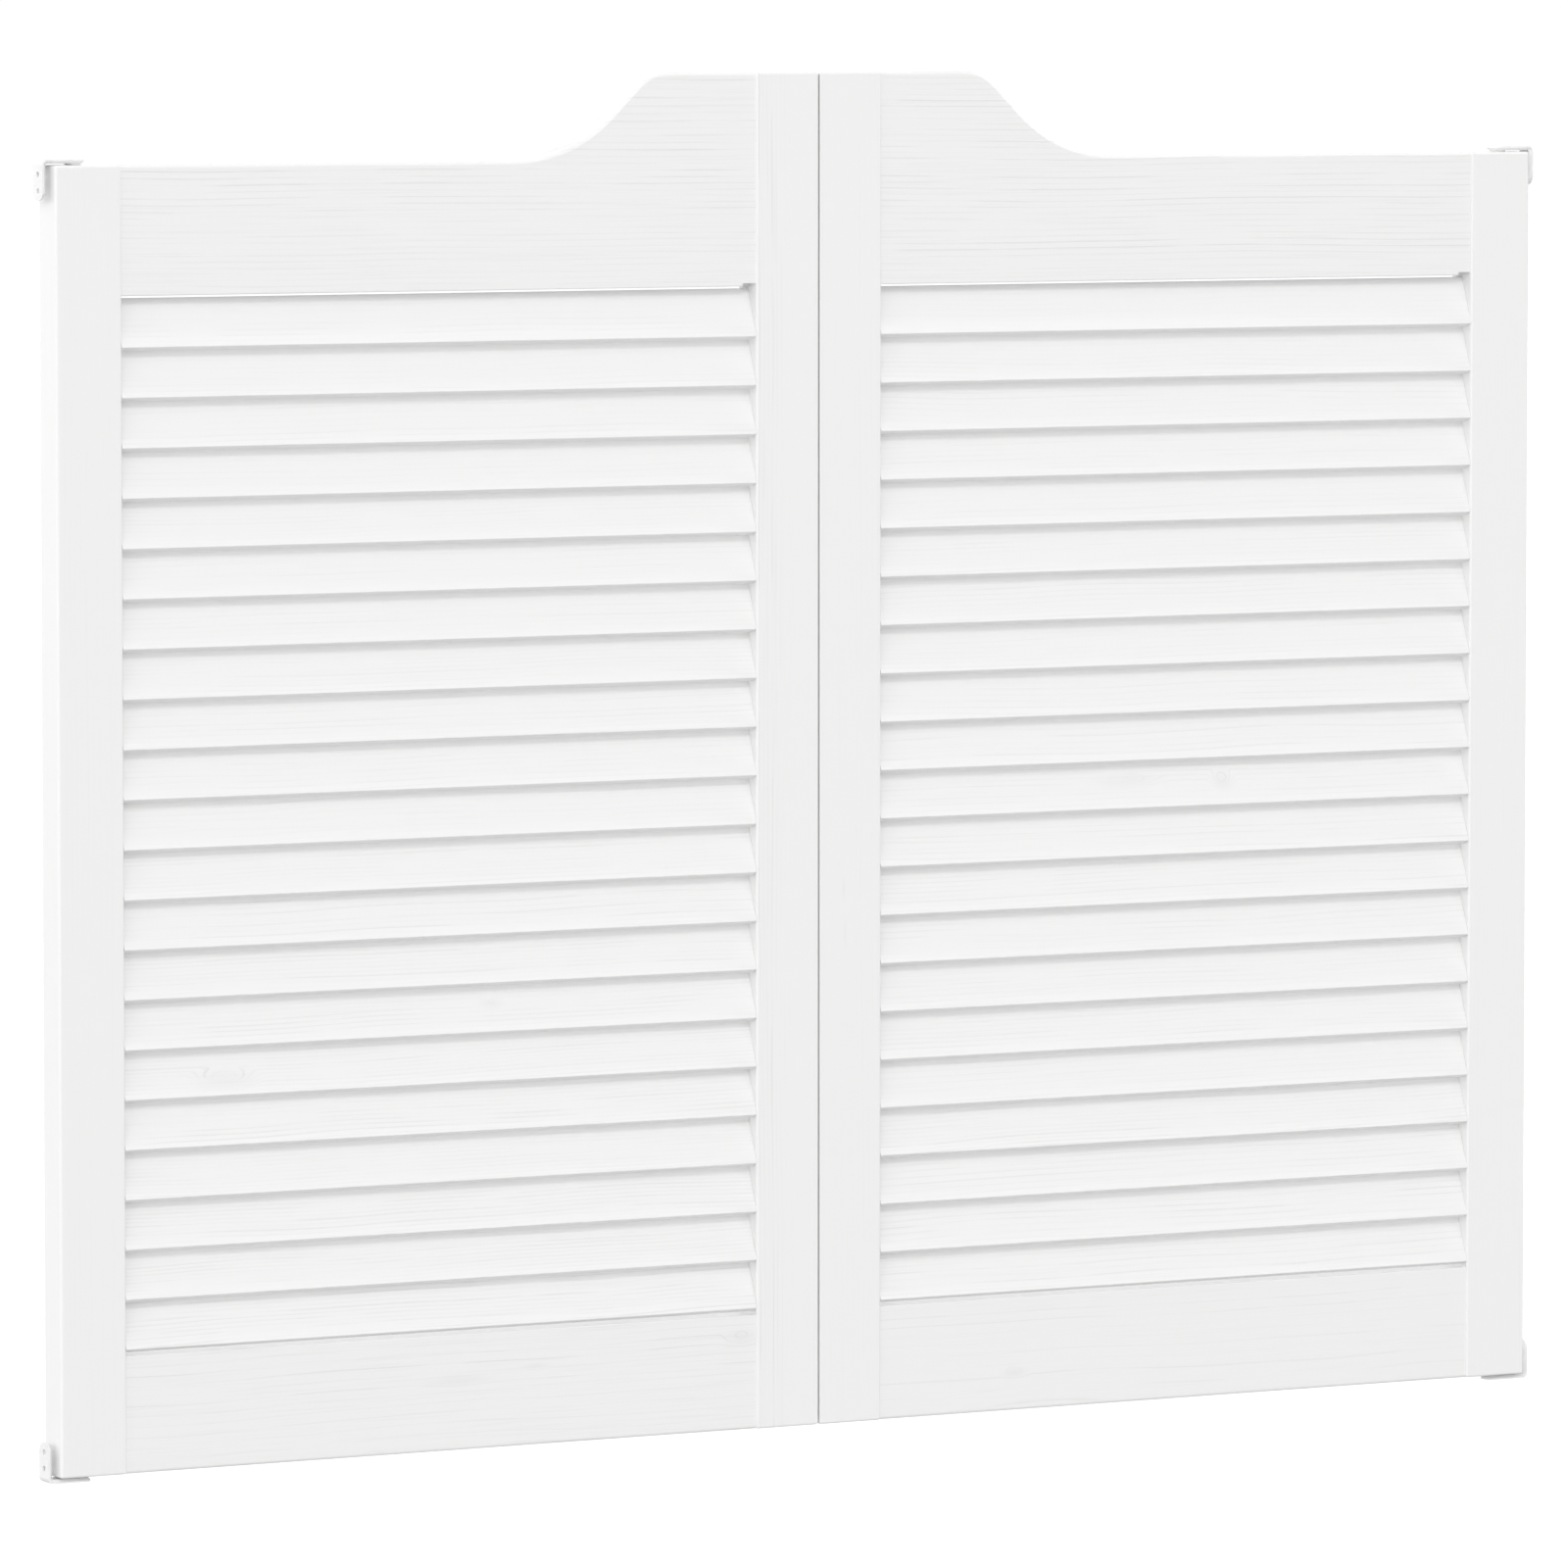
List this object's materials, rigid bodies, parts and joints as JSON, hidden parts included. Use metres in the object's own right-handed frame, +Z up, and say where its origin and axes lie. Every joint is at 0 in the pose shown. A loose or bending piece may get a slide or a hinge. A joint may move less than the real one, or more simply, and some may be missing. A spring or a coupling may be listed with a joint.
{
  "type": "cafe swinging doors",
  "caption": "Pair of white painted louvred saloon doors with ogee-stepped top rails, hung on sprung jamb pivots that swing both ways.",
  "frame": {"origin": "centre of the pair at the underside of the bottom jamb brackets, mid thickness", "axes": "+X across the doorway to the right leaf, +Y through the thickness away from the front, +Z up"},
  "size_m": [1.062, 0.024, 0.8535],
  "materials": {
    "painted_frame": "white satin paint over fine-grained softwood",
    "painted_slat": "white satin paint over fine-grained softwood slats",
    "bare_beech": "bare fluted beech dowel",
    "painted_steel": "white powder coat",
    "plated_steel": "bright zinc plate",
    "spring_steel": "oiled spring wire",
    "nylon": "natural nylon"
  },
  "bodies": {
    "jamb_hardware": {"bottom_brackets": "painted_steel", "top_brackets": "painted_steel", "pivot_pins": "plated_steel", "torsion_springs": "spring_steel"},
    "left_leaf": {"left_outer_stile": "painted_frame", "left_inner_stile": "painted_frame", "left_top_rail": "painted_frame", "left_bottom_rail": "painted_frame", "left_slat_01": "painted_slat", "left_slat_02": "painted_slat", "left_slat_03": "painted_slat", "left_slat_04": "painted_slat", "left_slat_05": "painted_slat", "left_slat_06": "painted_slat", "left_slat_07": "painted_slat", "left_slat_08": "painted_slat", "left_slat_09": "painted_slat", "left_slat_10": "painted_slat", "left_slat_11": "painted_slat", "left_slat_12": "painted_slat", "left_slat_13": "painted_slat", "left_slat_14": "painted_slat", "left_slat_15": "painted_slat", "left_slat_16": "painted_slat", "left_slat_17": "painted_slat", "left_slat_18": "painted_slat", "left_slat_19": "painted_slat", "left_slat_20": "painted_slat", "left_slat_21": "painted_slat", "left_dowels": "bare_beech", "left_top_bush": "nylon", "left_spring_barrel": "plated_steel"},
    "right_leaf": {"right_outer_stile": "painted_frame", "right_inner_stile": "painted_frame", "right_top_rail": "painted_frame", "right_bottom_rail": "painted_frame", "right_slat_01": "painted_slat", "right_slat_02": "painted_slat", "right_slat_03": "painted_slat", "right_slat_04": "painted_slat", "right_slat_05": "painted_slat", "right_slat_06": "painted_slat", "right_slat_07": "painted_slat", "right_slat_08": "painted_slat", "right_slat_09": "painted_slat", "right_slat_10": "painted_slat", "right_slat_11": "painted_slat", "right_slat_12": "painted_slat", "right_slat_13": "painted_slat", "right_slat_14": "painted_slat", "right_slat_15": "painted_slat", "right_slat_16": "painted_slat", "right_slat_17": "painted_slat", "right_slat_18": "painted_slat", "right_slat_19": "painted_slat", "right_slat_20": "painted_slat", "right_slat_21": "painted_slat", "right_dowels": "bare_beech", "right_top_bush": "nylon", "right_spring_barrel": "plated_steel"}
  },
  "joints": [
    {"name": "left_swing", "type": "hinge", "parent": "jamb_hardware", "child": "left_leaf", "pos_m": [-0.508, 0, 0], "axis": [0, 0, 1], "range_deg": [-90, 90], "stiffness_Nm_per_rad": 1},
    {"name": "right_swing", "type": "hinge", "parent": "jamb_hardware", "child": "right_leaf", "pos_m": [0.508, 0, 0], "axis": [0, 0, 1], "range_deg": [-90, 90], "stiffness_Nm_per_rad": 1}
  ]
}
